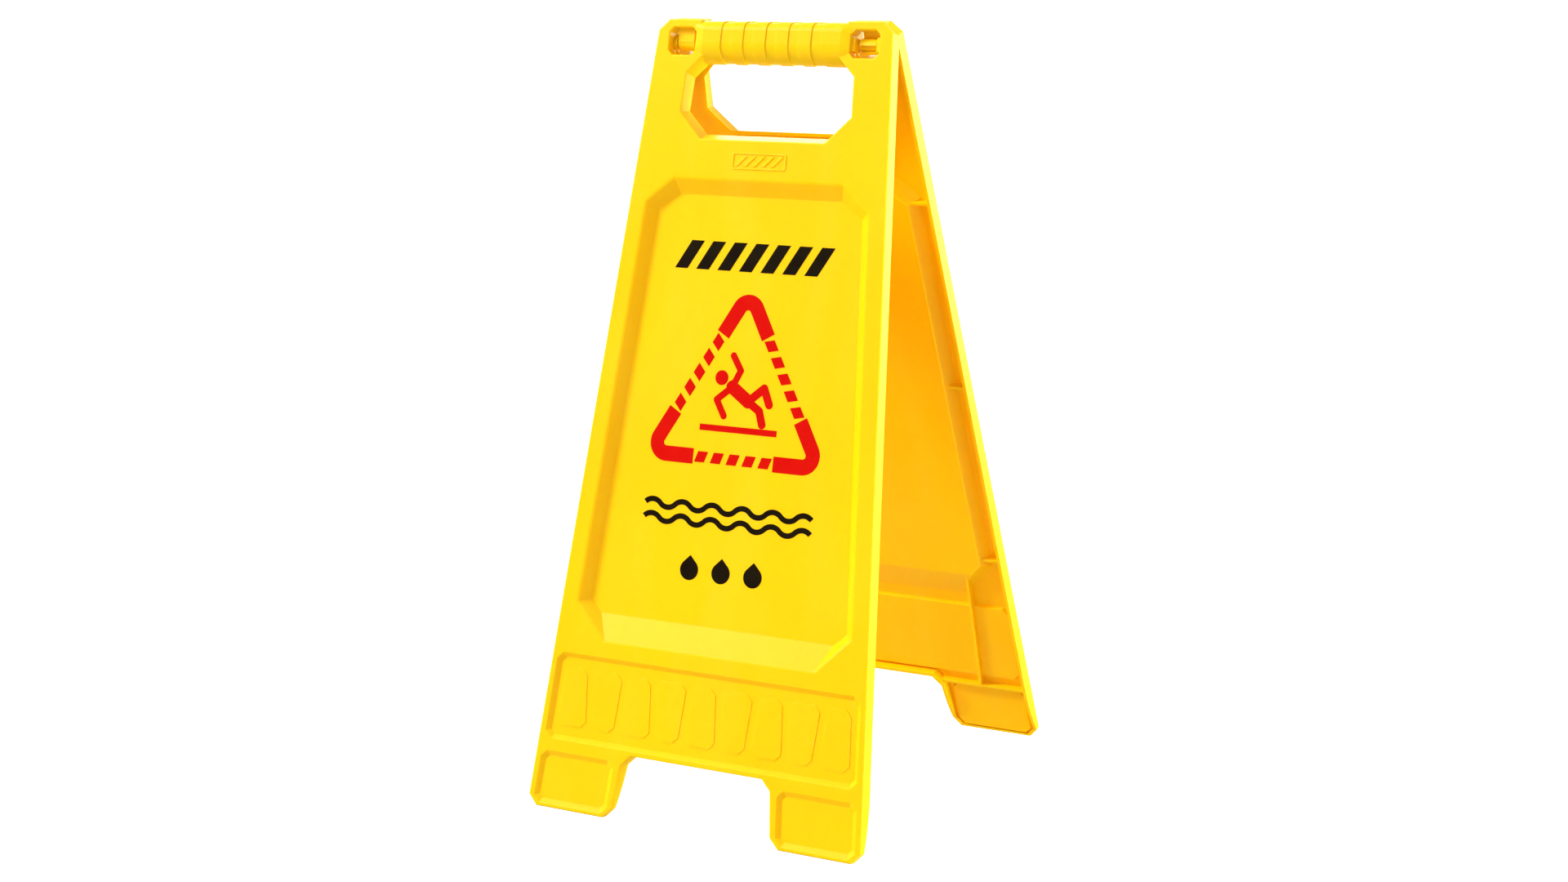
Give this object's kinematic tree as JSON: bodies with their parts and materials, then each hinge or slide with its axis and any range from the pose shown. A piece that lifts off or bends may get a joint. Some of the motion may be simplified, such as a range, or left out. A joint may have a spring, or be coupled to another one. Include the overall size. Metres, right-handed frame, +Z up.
{
  "type": "folding floor warning sign",
  "caption": "Folding A-frame wet floor sign: hinged yellow plastic panels with hand grip, recessed printed faces and notched feet.",
  "frame": {"origin": "middle of the footprint on the ground, under the hinge line, with the sign standing open", "axes": "+Z up, X along the hinge line, the front panel faces -Y and the rear panel faces +Y"},
  "size_m": [0.2938, 0.3278, 0.6012],
  "materials": {
    "yellow_plastic": "injection-moulded polypropylene, satin, softly shining on rounded edges",
    "black_ink": "screen-printed ink, slightly duller than the plastic",
    "red_ink": "screen-printed ink, slightly duller than the plastic"
  },
  "bodies": {
    "front": {"front_panel": "yellow_plastic", "front_hazard_stripes": "black_ink", "front_warning_triangle": "red_ink", "front_slip_figure": "red_ink", "front_water_waves": "black_ink", "front_water_drops": "black_ink"},
    "rear": {"rear_panel": "yellow_plastic", "rear_hazard_stripes": "black_ink", "rear_warning_triangle": "red_ink", "rear_slip_figure": "red_ink", "rear_water_waves": "black_ink", "rear_water_drops": "black_ink"}
  },
  "joints": [
    {"name": "panel_fold", "type": "hinge", "parent": "front", "child": "rear", "pos_m": [0, 0, 0.58187], "axis": [1, 0, 0], "range_deg": [-29.2, 0]}
  ]
}
